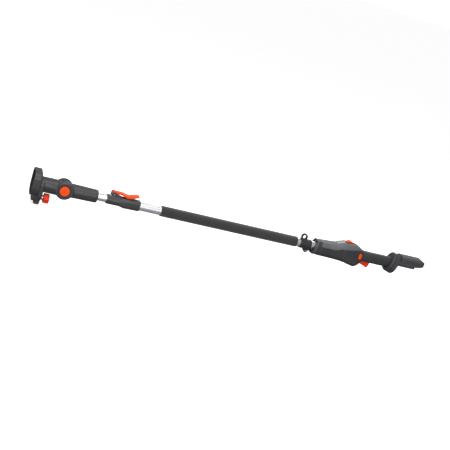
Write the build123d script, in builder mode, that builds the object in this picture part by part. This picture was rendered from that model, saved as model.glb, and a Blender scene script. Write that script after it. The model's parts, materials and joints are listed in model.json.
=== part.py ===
"""Telescopic pole of a cordless pole hedge trimmer, without its cutter head and battery.

Frame: millimetres, X along the pole with the tool end at -X and the battery end at +X,
+Z up with the trigger below, origin under the middle of the pole at its lowest point.
"""

import os
from math import cos, radians, sin

from build123d import *

os.makedirs("parts", exist_ok=True)

# --- pole ---------------------------------------------------------------------------------
AXIS_Z = 67.0  # height of the pole's centre line over the lowest point
SLIDE_GAP = 0.3  # clearance between pieces that move past each other
OUTER_TUBE_R = 15.0
OUTER_TUBE_BORE_R = 13.8
OUTER_TUBE_FRONT = -421.0
OUTER_TUBE_REAR = 335.0
INNER_TUBE_R = 12.5
INNER_TUBE_BORE_R = 11.0
INNER_TUBE_FRONT = -572.0
INNER_TUBE_REAR = 190.0
GRIP_R = 18.0
GRIP_FRONT = -288.0
GRIP_REAR = 210.5
COIL_R = 7.0
COIL_FRONT = -560.0
COIL_REAR = 329.0

# --- head: tool cup, neck and tilt knuckle -----------------------------------------------
CUP_FRONT = -715.5
CUP_DEPTH = 25.0
CUP_HALF = 42.0
CUP_MID_Z = 2.0
CUP_WALL = 3.2
CUP_TOP_CORNER = 24.0
CUP_LOW_CORNER = 37.0
BOSS_BACK = -677.0
NECK_R = 25.0
NECK_BORE_R = 19.0
KNUCKLE_X = -612.5
CHEEK_R = 29.5
CHEEK_HALF = 26.0
CHEEK_INNER = 14.0
CHEEK_CHAMFER = 4.0
BARREL_R = 27.2
BARREL_HALF = 13.6
BUTTON_R = 16.0
BUTTON_BORE_R = 16.4
STEM_R = 5.5
AXLE_R = 7.0
SOCKET_REAR = -503.0
CLAMP_Z = -44.0  # height of the clamp screw from the pole's centre line
CLAMP_SCREW_R = 4.0
TOOTH_COUNT = 24
TOOTH_PITCH = 360.0 / TOOTH_COUNT
RIVET_X = -530.0
RIVET_R = 2.0
RIVET_HEAD_R = 4.0
RIVET_SEAT = 19.5
KNOB_FRONT = -669.5
KNOB_REAR = -650.5
CLAMP_SCREW_REAR = -656.0
CUP_FLOOR = CUP_FRONT + CUP_DEPTH - CUP_WALL - 1
# x and height of the screws that join the halves of the head
HEAD_SCREW_SPOTS = [(-684.0, -31.0), (-657.0, 22.2), (-657.0, -22.2)]

# --- flip lock ------------------------------------------------------------------------------
LOCK_FRONT = -473.5
LOCK_STEP = -421.0
LOCK_REAR = -361.0
LEVER_PIN_X = -453.5
LEVER_PIN_Z = 22.9
LEVER_PIN_R = 2.0
EAR_R = 8.0
EAR_INNER = 9.4
EAR_OUTER = 13.0

# --- control housing and handle -----------------------------------------------------------
WALL = 3.2
SEAM = 0.2
COLLAR_SPLIT = 300.0
HOUSING_REAR = 470.0
# station along X: top, bottom, half width and corner radius of the housing's outside
HOUSING_STATIONS = [
    (262.0, 21.0, -24.0, 24.5, 20.0),
    (280.0, 24.4, -26.6, 26.0, 20.0),
    (300.0, 26.2, -28.0, 27.0, 20.0),
    (340.0, 27.6, -28.2, 28.0, 19.0),
    (361.0, 29.4, -28.4, 28.6, 18.5),
    (374.0, 35.0, -29.0, 29.0, 18.0),
    (389.0, 39.9, -30.0, 29.4, 18.0),
    (404.0, 41.3, -32.0, 29.8, 18.0),
    (420.0, 41.0, -35.4, 30.0, 18.0),
    (434.0, 38.6, -38.2, 29.6, 18.0),
    (444.0, 35.4, -38.8, 28.6, 18.0),
    (453.0, 31.4, -34.6, 26.2, 17.5),
    (461.0, 27.0, -27.0, 22.6, 16.5),
    (470.0, 22.8, -17.0, 18.5, 15.5),
]
# station, height of the screw head's seat, foot of the cover's post
HOUSING_SCREWS = [(342.0, -24.2, -16.5), (438.0, -35.6, -28.0)]
HOUSING_SCREW_Y = 17.0
PANEL_HALF = 13.0
PANEL_FRONT = 312.0
PANEL_REAR = 454.0
LENS_HALF = 9.0
LENS_FRONT = 361.0
LENS_REAR = 390.0
SLIDER_X = 407.0
SLIDER_TRAVEL = 6.0
SLIDER_HALF = 8.0
LOCK_OFF_X = 450.0
LOCK_OFF_Z = 6.5
BOARD_Z = -8.0
TRIGGER_PIN_X = 475.5
TRIGGER_PIN_Z = -10.0
TRIGGER_HALF = 7.5
HANDLE_HALF_WIDTH = 17.0
HANDLE_HALF_HEIGHT = 19.4
HANDLE_MID_Z = 3.0
HANDLE_CORNER = 15.0
HANDLE_WALL = 2.6
HANDLE_FRONT = HOUSING_REAR + SEAM
HANDLE_REAR = 604.0
# x and height of the screws that join the halves of the handle
HANDLE_SCREW_SPOTS = [(522.0, -4.0), (550.0, 4.0), (580.0, -4.0)]

# --- battery dock ----------------------------------------------------------------------------
DOCK_X = 592.0
DOCK_LEAN = 17.0
DOCK_THICKNESS = 30.0
DOCK_WIDTH = 58.0
DOCK_CORNER = 27.0
DOCK_HEIGHT = 74.0
HOOD_REAR = 715.5
HOOD_HALF = 29.0
HOOD_WALL = 4.0
HOOD_GROOVE_Z = 17.0
HOOD_TOP = 38.5
HOOD_LIP = 4.0
DOCK_PLATE_Z = 25.0
DOCK_PLATE = 6.6
DOCK_SCREW_TOP = 34.4
DOCK_SCREW_SPOTS = [(640.0, -14.0), (640.0, 14.0), (684.0, -14.0), (684.0, 14.0)]
BLADE_SPOTS = [-9.0, -3.0, 3.0, 9.0]
RAIL_WEB_Y = 22.2
RAIL_LEDGE_Y = 19.4
BLADE_X = 615.0
BLADE_Z = 19.0
BLADE_THICKNESS = 1.6
BLADE_HEIGHT = 9.0

# --- harness collar ----------------------------------------------------------------------------
HARNESS_FRONT = 222.5
HARNESS_REAR = 264.5
EYE_X = HARNESS_FRONT + 12
EYE_Z = 24.4
EYE_OUTER_R = 11.5
EYE_HOLE_R = 6.5
TAB_SCREW_X = HARNESS_FRONT + 30
TAB_SCREW_Z = -22.5
TAB_HALF = 7.0

# --- fasteners -----------------------------------------------------------------------------
SCREW_R = 1.5
SCREW_HEAD_R = 3.0
SCREW_HEAD = 2.2


def across(x, z=0.0):
    """Plane square to the pole, facing +X, with its centre z above the pole's centre line."""
    return Plane(origin=(x, 0, AXIS_Z + z), x_dir=(0, 1, 0), z_dir=(1, 0, 0))


def side(y=0.0):
    """Upright plane along the pole, facing -Y, with the pole's centre line as its x axis."""
    return Plane(origin=(0, y, AXIS_Z), x_dir=(1, 0, 0), z_dir=(0, -1, 0))


def level(z):
    """Level plane z above the pole's centre line, facing up."""
    return Plane.XY.offset(AXIS_Z + z)


def ring(x0, x1, outer_r, inner_r=0.0, z=0.0, mode=Mode.ADD):
    """Round bar or tube along the pole."""
    with BuildSketch(across(x0, z)) as profile:
        Circle(outer_r)
        if inner_r:
            Circle(inner_r, mode=Mode.SUBTRACT)
    extrude(profile.sketch, amount=x1 - x0, mode=mode)


def cross_disc(x, z, radius, y0, y1, mode=Mode.ADD):
    """Round bar across the pole, from y0 to y1."""
    with BuildSketch(side(y0)) as profile:
        with Locations((x, z)):
            Circle(radius)
    extrude(profile.sketch, amount=y0 - y1, mode=mode)


def post(x, y, z0, z1, radius, mode=Mode.ADD):
    """Upright round bar, from z0 to z1 over the pole's centre line."""
    with BuildSketch(level(z0)) as profile:
        with Locations((x, y)):
            Circle(radius)
    extrude(profile.sketch, amount=z1 - z0, mode=mode)


def rounded_bar(x0, x1, width, height, corner, z=0.0, mode=Mode.ADD):
    """Bar along the pole with a rounded rectangular section."""
    with BuildSketch(across(x0, z)) as profile:
        RectangleRounded(width, height, corner)
    extrude(profile.sketch, amount=x1 - x0, mode=mode)


def coil_spring(start, direction, length, radius, wire, turns):
    """Compression spring of round wire."""
    with BuildLine() as path:
        Helix(pitch=length / turns, height=length, radius=radius, center=start, direction=direction)
    with BuildSketch(Plane(origin=path.line @ 0, z_dir=path.line % 0)) as section:
        Circle(wire)
    sweep(section.sketch, path=path.line, is_frenet=True)


# ============================ fixed pole ======================================================
with BuildPart() as outer_tube:
    ring(OUTER_TUBE_FRONT, OUTER_TUBE_REAR, OUTER_TUBE_R, OUTER_TUBE_BORE_R)
outer_tube.part.label = "outer_tube"
export_step(outer_tube.part, "parts/outer_tube.step")

with BuildPart() as foam_grip:
    ring(GRIP_FRONT, GRIP_REAR, GRIP_R, OUTER_TUBE_R)
    rims = foam_grip.edges().filter_by(GeomType.CIRCLE)
    fillet(rims.filter_by(lambda e: e.radius > OUTER_TUBE_R + 1), 1.6)
foam_grip.part.label = "foam_grip"
export_step(foam_grip.part, "parts/foam_grip.step")

with BuildPart() as guide_sleeve:
    ring(OUTER_TUBE_FRONT, OUTER_TUBE_FRONT + 42, OUTER_TUBE_BORE_R, INNER_TUBE_R + SLIDE_GAP)
guide_sleeve.part.label = "guide_sleeve"
export_step(guide_sleeve.part, "parts/guide_sleeve.step")

# ============================ flip lock ======================================================
with BuildPart() as lock_body:
    ring(LOCK_FRONT, LOCK_STEP + 4, 16.0)
    fillet(lock_body.faces().sort_by(Axis.X)[0].edges(), 1.5)
    with BuildSketch(across(LOCK_STEP - 6)):
        RectangleRounded(31, 31, 13)
    with BuildSketch(across(LOCK_STEP + 7)):
        RectangleRounded(36, 36, 12)
    with BuildSketch(across(LOCK_REAR)):
        RectangleRounded(34, 34, 11.5)
    loft(ruled=True)
    fillet(lock_body.faces().sort_by(Axis.X)[-1].edges(), 3.0)
    for y in (-EAR_OUTER, EAR_INNER):
        with BuildSketch(side(y)):
            Polygon(
                (LEVER_PIN_X - EAR_R, 0),
                (LEVER_PIN_X - EAR_R, LEVER_PIN_Z),
                (LEVER_PIN_X, LEVER_PIN_Z + 2),
                (LEVER_PIN_X + EAR_R - 1, LEVER_PIN_Z + 3),
                (LEVER_PIN_X + 20, 17.4),
                (LOCK_STEP + 4, 14.5),
                (LOCK_STEP + 4, 0),
                align=None,
            )
            with Locations((LEVER_PIN_X, LEVER_PIN_Z)):
                Circle(EAR_R)
        extrude(amount=EAR_INNER - EAR_OUTER)
    ring(LOCK_FRONT - 1, LOCK_STEP, INNER_TUBE_R + SLIDE_GAP, mode=Mode.SUBTRACT)
    ring(LOCK_STEP, LOCK_REAR + 1, OUTER_TUBE_R, mode=Mode.SUBTRACT)
    # window over the inner tube for the clamp pad
    with BuildSketch(level(4)):
        with Locations((LEVER_PIN_X, 0)):
            Rectangle(25, 15)
    extrude(amount=20, mode=Mode.SUBTRACT)
    cross_disc(LEVER_PIN_X, LEVER_PIN_Z, LEVER_PIN_R, -20, 20, mode=Mode.SUBTRACT)
    # saw cut that lets the front section close on the inner tube
    with BuildSketch(across(LOCK_FRONT - 1, -20)):
        Rectangle(2.4, 18)
    extrude(amount=46, mode=Mode.SUBTRACT)
lock_body.part.label = "lock_body"
export_step(lock_body.part, "parts/lock_body.step")

with BuildPart() as lock_pad:
    with BuildSketch(level(6)):
        with Locations((LEVER_PIN_X, 0)):
            Rectangle(24.4, 14.4)
    extrude(amount=LEVER_PIN_Z - 7.1 - 6)
    ring(LOCK_FRONT, LOCK_STEP, INNER_TUBE_R + SLIDE_GAP, mode=Mode.SUBTRACT)
lock_pad.part.label = "lock_pad"
export_step(lock_pad.part, "parts/lock_pad.step")

with BuildPart() as lever_pin:
    cross_disc(LEVER_PIN_X, LEVER_PIN_Z, LEVER_PIN_R, -EAR_OUTER - 0.6, EAR_OUTER + 0.6)
lever_pin.part.label = "lever_pin"
export_step(lever_pin.part, "parts/lever_pin.step")

with BuildPart() as lock_lever:
    with BuildSketch(side()):
        with Locations((LEVER_PIN_X, LEVER_PIN_Z)):
            Circle(6.8)
        with BuildLine():
            Polyline(
                (LEVER_PIN_X - 3, LEVER_PIN_Z),
                (LEVER_PIN_X - 3, 29.6),
                (LEVER_PIN_X + 4, 31.2),
                (-430, 31),
                (-404, 25.4),
                (-371.5, 33),
                (-369.5, 30.2),
                (-398, 19.2),
                (-404, 18.4),
                (-411, 19.2),
                (-427, 24.8),
                (-444, 24.8),
                (LEVER_PIN_X + 4, 18),
                (LEVER_PIN_X - 3, LEVER_PIN_Z),
            )
        make_face()
        with Locations((LEVER_PIN_X, LEVER_PIN_Z)):
            Circle(LEVER_PIN_R + SLIDE_GAP, mode=Mode.SUBTRACT)
    extrude(amount=EAR_INNER - 0.5, both=True)
    # the paddle behind the ears is wider, with rounded corners
    with BuildSketch(side()):
        Polygon(
            (-427, 30.4),
            (-404, 25.4),
            (-371.5, 33),
            (-369.5, 30.2),
            (-398, 19.2),
            (-404, 18.4),
            (-411, 19.2),
            (-427, 24.8),
            align=None,
        )
    extrude(amount=13, both=True)
    fillet(lock_lever.edges().filter_by(Axis.Y).group_by(Axis.X)[-1], 1.2)
    fillet(
        lock_lever.edges().filter_by(GeomType.LINE).filter_by(lambda e: abs(abs(e.center().Y) - 13) < 0.01),
        1.2,
    )
lock_lever.part.label = "lock_lever"
export_step(lock_lever.part, "parts/lock_lever.step")

# ============================ telescoping front tube =======================================
with BuildPart() as inner_tube:
    ring(INNER_TUBE_FRONT, INNER_TUBE_REAR, INNER_TUBE_R, INNER_TUBE_BORE_R)
    cross_disc(RIVET_X, 0, RIVET_R, -20, 20, mode=Mode.SUBTRACT)
inner_tube.part.label = "inner_tube"
export_step(inner_tube.part, "parts/inner_tube.step")

with BuildPart() as tube_end_bush:
    ring(INNER_TUBE_REAR - 22, INNER_TUBE_REAR, INNER_TUBE_BORE_R, 8.5)
    ring(INNER_TUBE_REAR, INNER_TUBE_REAR + 8, OUTER_TUBE_BORE_R - SLIDE_GAP, 8.5)
tube_end_bush.part.label = "tube_end_bush"
export_step(tube_end_bush.part, "parts/tube_end_bush.step")

with BuildPart() as knuckle_socket:
    cross_disc(KNUCKLE_X, 0, BARREL_R, -BARREL_HALF, BARREL_HALF)
    with BuildSketch(across(-604)):
        Circle(23.2)
    with BuildSketch(across(SOCKET_REAR)):
        Circle(21.4)
    loft()
    fillet(knuckle_socket.faces().sort_by(Axis.X)[-1].edges(), 5.0)
    # room for the cheeks of the head
    for y0, y1 in ((-40, -BARREL_HALF), (BARREL_HALF, 40)):
        cross_disc(KNUCKLE_X, 0, CHEEK_R + 0.8, y0, y1, mode=Mode.SUBTRACT)
    ring(INNER_TUBE_FRONT, SOCKET_REAR + 1, INNER_TUBE_R, mode=Mode.SUBTRACT)
    ring(-600, INNER_TUBE_FRONT, 8.0, mode=Mode.SUBTRACT)
    cross_disc(KNUCKLE_X, 0, 20.0, -20, 9, mode=Mode.SUBTRACT)
    cross_disc(KNUCKLE_X, 0, AXLE_R + SLIDE_GAP, 0, 20, mode=Mode.SUBTRACT)
    cross_disc(RIVET_X, 0, RIVET_R, -30, 30, mode=Mode.SUBTRACT)
    cross_disc(RIVET_X, 0, RIVET_HEAD_R, -30, -RIVET_SEAT, mode=Mode.SUBTRACT)
    cross_disc(RIVET_X, 0, RIVET_HEAD_R, RIVET_SEAT, 30, mode=Mode.SUBTRACT)
knuckle_socket.part.label = "knuckle_socket"
export_step(knuckle_socket.part, "parts/knuckle_socket.step")

with BuildPart() as socket_rivets:
    cross_disc(RIVET_X, 0, RIVET_R, -RIVET_SEAT, -10)
    cross_disc(RIVET_X, 0, RIVET_HEAD_R, -RIVET_SEAT - 1.2, -RIVET_SEAT)
    cross_disc(RIVET_X, 0, RIVET_R, 10, RIVET_SEAT)
    cross_disc(RIVET_X, 0, RIVET_HEAD_R, RIVET_SEAT, RIVET_SEAT + 1.2)
socket_rivets.part.label = "socket_rivets"
export_step(socket_rivets.part, "parts/socket_rivets.step")

with BuildPart() as cable_gland:
    ring(INNER_TUBE_FRONT, COIL_FRONT, INNER_TUBE_BORE_R, 3.0)
cable_gland.part.label = "cable_gland"
export_step(cable_gland.part, "parts/cable_gland.step")

with BuildPart() as coiled_cable:
    ring(COIL_FRONT, COIL_REAR, COIL_R, 3.5)
coiled_cable.part.label = "coiled_cable"
export_step(coiled_cable.part, "parts/coiled_cable.step")

with BuildPart() as cable_grommet:
    ring(COIL_REAR, OUTER_TUBE_REAR, OUTER_TUBE_BORE_R, 3.0)
    ring(OUTER_TUBE_REAR, OUTER_TUBE_REAR + 4, OUTER_TUBE_R, 3.0)
cable_grommet.part.label = "cable_grommet"
export_step(cable_grommet.part, "parts/cable_grommet.step")

# toothed ring of the tilt lock, in the barrel, and the toothed plunger that the button moves
with BuildPart() as tooth_ring:
    cross_disc(KNUCKLE_X, 0, 20.0, -13.2, -7.2)
    with BuildSketch(side(-13.2)):
        with Locations((KNUCKLE_X, 0)):
            Circle(15.4)
            with PolarLocations(16.0, TOOTH_COUNT):
                Rectangle(2.6, 2.2)
    extrude(amount=-6.0, mode=Mode.SUBTRACT)
tooth_ring.part.label = "tooth_ring"
export_step(tooth_ring.part, "parts/tooth_ring.step")

with BuildPart() as lock_gear:
    with BuildSketch(side(-12.6)):
        with Locations((KNUCKLE_X, 0)):
            Circle(13.6)
            with PolarLocations(14.1, TOOTH_COUNT, start_angle=TOOTH_PITCH / 2):
                Rectangle(1.8, 1.7)
            Circle(STEM_R, mode=Mode.SUBTRACT)
    extrude(amount=-5.0)
lock_gear.part.label = "lock_gear"
export_step(lock_gear.part, "parts/lock_gear.step")

with BuildPart() as tilt_button:
    cross_disc(KNUCKLE_X, 0, BUTTON_R, -28.6, -23.4)
    fillet(tilt_button.faces().sort_by(Axis.Y)[0].edges(), 1.4)
    cross_disc(KNUCKLE_X, 0, STEM_R, -23.4, 4)
tilt_button.part.label = "tilt_button"
export_step(tilt_button.part, "parts/tilt_button.step")

with BuildPart() as button_spring:
    coil_spring((KNUCKLE_X, -6.6, AXIS_Z), (0, 1, 0), 14.6, 10.0, 0.7, 5)
button_spring.part.label = "button_spring"
export_step(button_spring.part, "parts/button_spring.step")


# ============================ head ==============================================================
def neck_and_cheeks():
    """Back boss, neck and both cheeks of the tilt knuckle, before the split into halves."""
    with BuildSketch(across(CUP_FRONT + CUP_DEPTH, -15)) as boss:
        RectangleRounded(60, 73, 22)
    boss_back = extrude(boss.sketch, amount=BOSS_BACK - CUP_FRONT - CUP_DEPTH)
    fillet(boss_back.faces().sort_by(Axis.X)[-1].edges(), 4.5)
    ring(CUP_FRONT + CUP_DEPTH, KNUCKLE_X, NECK_R)
    cross_disc(KNUCKLE_X, 0, BARREL_R + 0.8, -CHEEK_INNER, CHEEK_INNER, mode=Mode.SUBTRACT)
    cross_disc(KNUCKLE_X, 0, CHEEK_R, CHEEK_CHAMFER - CHEEK_HALF, -CHEEK_INNER)
    cross_disc(KNUCKLE_X, 0, CHEEK_R, CHEEK_INNER, CHEEK_HALF - CHEEK_CHAMFER)
    for sign in (-1, 1):
        with BuildSketch(side(sign * (CHEEK_HALF - CHEEK_CHAMFER))) as cheek_edge:
            with Locations((KNUCKLE_X, 0)):
                Circle(CHEEK_R)
        extrude(cheek_edge.sketch, amount=-sign * CHEEK_CHAMFER, taper=40)
    ring(CUP_FRONT + CUP_DEPTH - 1, KNUCKLE_X - 24, NECK_BORE_R, mode=Mode.SUBTRACT)
    ring(CUP_FRONT, BOSS_BACK + 1, CLAMP_SCREW_R + 0.5, z=CLAMP_Z, mode=Mode.SUBTRACT)
    cross_disc(KNUCKLE_X, 0, BUTTON_BORE_R, -40, -16.6, mode=Mode.SUBTRACT)
    cross_disc(KNUCKLE_X, 0, 23.0, -40, -24.6, mode=Mode.SUBTRACT)
    cross_disc(KNUCKLE_X, 0, STEM_R + 2.5, -20, 0, mode=Mode.SUBTRACT)
    cross_disc(KNUCKLE_X, 0, AXLE_R, 0, 40, mode=Mode.SUBTRACT)
    cross_disc(KNUCKLE_X, 0, 16.0, 23.4, 40, mode=Mode.SUBTRACT)
    for x, z in HEAD_SCREW_SPOTS:
        cross_disc(x, z, SCREW_R, -8, 40, mode=Mode.SUBTRACT)
        cross_disc(x, z, SCREW_HEAD_R + 0.2, 6, 40, mode=Mode.SUBTRACT)


with BuildPart() as head_left_shell:
    neck_and_cheeks()
    split(bisect_by=Plane.XZ, keep=Keep.TOP)
head_left_shell.part.label = "head_left_shell"
export_step(head_left_shell.part, "parts/head_left_shell.step")

with BuildPart() as head_right_shell:
    neck_and_cheeks()
    split(bisect_by=Plane.XZ, keep=Keep.BOTTOM)
head_right_shell.part.label = "head_right_shell"
export_step(head_right_shell.part, "parts/head_right_shell.step")

with BuildPart() as head_screws:
    for x, z in HEAD_SCREW_SPOTS:
        cross_disc(x, z, SCREW_R, -8, 6)
        cross_disc(x, z, SCREW_HEAD_R, 6, 6 + SCREW_HEAD)
head_screws.part.label = "head_screws"
export_step(head_screws.part, "parts/head_screws.step")

with BuildPart() as bezel_ring:
    cross_disc(KNUCKLE_X, 0, 23.0, -26.8, -24.6)
    cross_disc(KNUCKLE_X, 0, BUTTON_BORE_R, -30, -20, mode=Mode.SUBTRACT)
    fillet(bezel_ring.faces().sort_by(Axis.Y)[0].edges(), 0.7)
bezel_ring.part.label = "bezel_ring"
export_step(bezel_ring.part, "parts/bezel_ring.step")

with BuildPart() as pivot_cap:
    cross_disc(KNUCKLE_X, 0, 16.0, 23.4, 27.0)
    fillet(pivot_cap.faces().sort_by(Axis.Y)[-1].edges(), 1.0)
pivot_cap.part.label = "pivot_cap"
export_step(pivot_cap.part, "parts/pivot_cap.step")

with BuildPart() as pivot_axle:
    cross_disc(KNUCKLE_X, 0, AXLE_R, -1.8, 23.4)
    cross_disc(KNUCKLE_X, 0, STEM_R + SLIDE_GAP, -5, 12, mode=Mode.SUBTRACT)
pivot_axle.part.label = "pivot_axle"
export_step(pivot_axle.part, "parts/pivot_axle.step")


def cup_outline(x, inset):
    """Outline of the tool cup: flat top, rounder below."""
    with BuildSketch(across(x, CUP_MID_Z)) as outline:
        Rectangle(2 * (CUP_HALF - inset), 2 * (CUP_HALF - inset))
        fillet(outline.vertices().group_by(Axis.Y)[-1], CUP_TOP_CORNER - inset)
        fillet(outline.vertices().group_by(Axis.Y)[0], CUP_LOW_CORNER - inset)
    return outline.sketch


with BuildPart() as tool_cup:
    extrude(cup_outline(CUP_FRONT, 0), amount=CUP_DEPTH)
    fillet(tool_cup.faces().sort_by(Axis.X)[-1].edges(), 5.0)
    fillet(tool_cup.faces().sort_by(Axis.X)[0].edges(), 1.0)
    # clamp housing below the cup, with the lug that carries the clamp shoe
    with BuildSketch(across(CUP_FRONT + 9, -36)):
        RectangleRounded(46, 40, 12)
    extrude(amount=CUP_DEPTH - 9)
    with BuildSketch(side()):
        with BuildLine():
            Polyline(
                (CUP_FRONT + 15, -50),
                (CUP_FRONT + 19, -AXIS_Z + 1.5),
                (CUP_FRONT + 21, -AXIS_Z),
                (CUP_FRONT + 34, -AXIS_Z),
                (CUP_FRONT + 36, -AXIS_Z + 2),
                (CUP_FRONT + 38, -50),
                (CUP_FRONT + 15, -50),
            )
        make_face()
    extrude(amount=9, both=True)
    with BuildSketch(across(CUP_FRONT + CUP_DEPTH, -15)):
        RectangleRounded(60, 73, 22)
    extrude(amount=40, mode=Mode.SUBTRACT)
    extrude(cup_outline(CUP_FRONT - 1, CUP_WALL), amount=CUP_DEPTH - CUP_WALL, mode=Mode.SUBTRACT)
    # bore for the clamp screw and room for the shoe that it drives
    ring(CUP_FRONT + 8, BOSS_BACK + 20, CLAMP_SCREW_R + 0.5, z=CLAMP_Z, mode=Mode.SUBTRACT)
    rounded_bar(CUP_FRONT + 12, CUP_FRONT + 23, 18.6, 17.3, 2.0, z=CLAMP_Z + 1.35, mode=Mode.SUBTRACT)
    ring(CUP_FRONT + 10, CUP_FRONT + 40, 9.0, mode=Mode.SUBTRACT)
tool_cup.part.label = "tool_cup"
export_step(tool_cup.part, "parts/tool_cup.step")

with BuildPart() as cup_seal:
    extrude(cup_outline(CUP_FRONT + 2, CUP_WALL), amount=3)
    extrude(cup_outline(CUP_FRONT + 1, CUP_WALL + 1.6), amount=5, mode=Mode.SUBTRACT)
cup_seal.part.label = "cup_seal"
export_step(cup_seal.part, "parts/cup_seal.step")

with BuildPart() as contact_block:
    rounded_bar(CUP_FLOOR - 9, CUP_FLOOR, 34, 22, 4)
    with BuildSketch(across(CUP_FLOOR - 10)):
        with GridLocations(6, 1, 5, 1):
            Rectangle(1.2, 8)
    extrude(amount=20, mode=Mode.SUBTRACT)
contact_block.part.label = "contact_block"
export_step(contact_block.part, "parts/contact_block.step")

with BuildPart() as contact_pins:
    with BuildSketch(across(CUP_FLOOR - 15)):
        with GridLocations(6, 1, 5, 1):
            Rectangle(1.2, 8)
    extrude(amount=15)
contact_pins.part.label = "contact_pins"
export_step(contact_pins.part, "parts/contact_pins.step")

with BuildPart() as clamp_knob:
    with BuildSketch(across(KNOB_FRONT, CLAMP_Z)):
        Circle(13.6)
        with PolarLocations(12.0, 6):
            Circle(4.0)
    extrude(amount=KNOB_REAR - KNOB_FRONT)
    fillet(clamp_knob.faces().sort_by(Axis.X)[-1].edges(), 2.5)
    fillet(clamp_knob.faces().sort_by(Axis.X)[0].edges(), 1.5)
    ring(KNOB_FRONT - 8, CLAMP_SCREW_REAR, CLAMP_SCREW_R, z=CLAMP_Z, mode=Mode.SUBTRACT)
clamp_knob.part.label = "clamp_knob"
export_step(clamp_knob.part, "parts/clamp_knob.step")

with BuildPart() as clamp_screw:
    ring(CUP_FRONT + 10, CLAMP_SCREW_REAR, CLAMP_SCREW_R, z=CLAMP_Z)
    ring(KNOB_FRONT - 4.4, KNOB_FRONT - 1.4, 8.0, z=CLAMP_Z)
clamp_screw.part.label = "clamp_screw"
export_step(clamp_screw.part, "parts/clamp_screw.step")

with BuildPart() as clamp_shoe:
    rounded_bar(CUP_FRONT + 13, CUP_FRONT + 18, 18, 15.6, 1.7, z=CLAMP_Z + 0.8)
    ring(CUP_FRONT, CUP_FRONT + 40, CLAMP_SCREW_R + SLIDE_GAP, z=CLAMP_Z, mode=Mode.SUBTRACT)
clamp_shoe.part.label = "clamp_shoe"
export_step(clamp_shoe.part, "parts/clamp_shoe.step")

# ============================ harness collar ==================================================
with BuildPart() as harness_collar:
    ring(HARNESS_FRONT, HARNESS_REAR, 17.6)
    fillet(harness_collar.edges().filter_by(GeomType.CIRCLE), 1.2)
    with BuildSketch(side()):
        with Locations((EYE_X, EYE_Z)):
            Circle(EYE_OUTER_R)
        with Locations((EYE_X, 14)):
            Rectangle(20, 8)
    extrude(amount=4, both=True)
    cross_disc(EYE_X, EYE_Z, EYE_HOLE_R, -10, 10, mode=Mode.SUBTRACT)
    # two clamp tabs below, pulled together by the screw
    with BuildSketch(side()):
        with BuildLine():
            Polyline(
                (HARNESS_FRONT + 14.5, -14),
                (HARNESS_FRONT + 26.5, -28.5),
                (HARNESS_FRONT + 33.5, -28.5),
                (HARNESS_FRONT + 38.5, -22),
                (HARNESS_FRONT + 39.5, -14),
                (HARNESS_FRONT + 14.5, -14),
            )
        make_face()
    extrude(amount=TAB_HALF, both=True)
    ring(HARNESS_FRONT - 5, HARNESS_REAR + 5, OUTER_TUBE_R + SLIDE_GAP, mode=Mode.SUBTRACT)
    with BuildSketch(across(HARNESS_FRONT - 1, -24)):
        Rectangle(2.4, 24)
    extrude(amount=60, mode=Mode.SUBTRACT)
    cross_disc(TAB_SCREW_X, TAB_SCREW_Z, SCREW_R + 0.5, -20, 20, mode=Mode.SUBTRACT)
harness_collar.part.label = "harness_collar"
export_step(harness_collar.part, "parts/harness_collar.step")

with BuildPart() as harness_fasteners:
    cross_disc(TAB_SCREW_X, TAB_SCREW_Z, SCREW_R + 0.5, -TAB_HALF, 12)
    cross_disc(TAB_SCREW_X, TAB_SCREW_Z, 4.0, -TAB_HALF - 3.5, -TAB_HALF)
    with BuildSketch(side(TAB_HALF)):
        with Locations((TAB_SCREW_X, TAB_SCREW_Z)):
            RegularPolygon(4.0, 6)
    extrude(amount=-3.0)
harness_fasteners.part.label = "harness_fasteners"
export_step(harness_fasteners.part, "parts/harness_fasteners.step")


# ============================ control housing ===============================================
def housing_form(inset, mode=Mode.ADD):
    """Body of the control housing, drawn in by the inset on every side."""
    sections = []
    for x, top, bottom, half_width, corner in HOUSING_STATIONS:
        with BuildSketch(across(x, (top + bottom) / 2)) as section:
            RectangleRounded(2 * (half_width - inset), top - bottom - 2 * inset, corner - inset)
        sections.append(section.sketch)
    loft(sections, ruled=True, mode=mode)


def above_seam(lift, mode):
    """Everything above the wavy line where the upper cover meets the lower shell."""
    with BuildSketch(side()) as region:
        with BuildLine():
            Line((COLLAR_SPLIT - 5, 60), (COLLAR_SPLIT - 5, 10.4 + lift))
            Line((COLLAR_SPLIT - 5, 10.4 + lift), (350, 10.4 + lift))
            TangentArc((350, 10.4 + lift), (364, 14.6 + lift), tangent=(1, 0))
            TangentArc((364, 14.6 + lift), (378, 18.8 + lift), tangent=(28, 16.4))
            Line((378, 18.8 + lift), (388, 18.8 + lift))
            Polyline(
                (388, 18.8 + lift),
                (438, 28.0 + lift),
                (480, 26.0 + lift),
                (480, 60),
                (COLLAR_SPLIT - 5, 60),
            )
        make_face()
    extrude(region.sketch, amount=50, both=True, mode=mode)


def band(x0, x1, half_width, mode):
    """Upright slab over the pole's centre line, between two stations."""
    with BuildSketch(level(5)) as slab:
        with Locations(((x0 + x1) / 2, 0)):
            RectangleRounded(x1 - x0, 2 * half_width, min(half_width, 6) - 0.5)
    extrude(slab.sketch, amount=60, mode=mode)


def side_panel_prism(grow, y0, y1, mode):
    """Slanted five-sided window in the side of the housing."""
    with BuildSketch(side(y0)) as window:
        Polygon((385, 16.5), (434, 25.5), (436, -22.0), (420, -21.0), (391, -14.0), align=None)
        fillet(window.vertices(), 3.0)
        if grow:
            offset(amount=grow)
    extrude(window.sketch, amount=y0 - y1, mode=mode)


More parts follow.
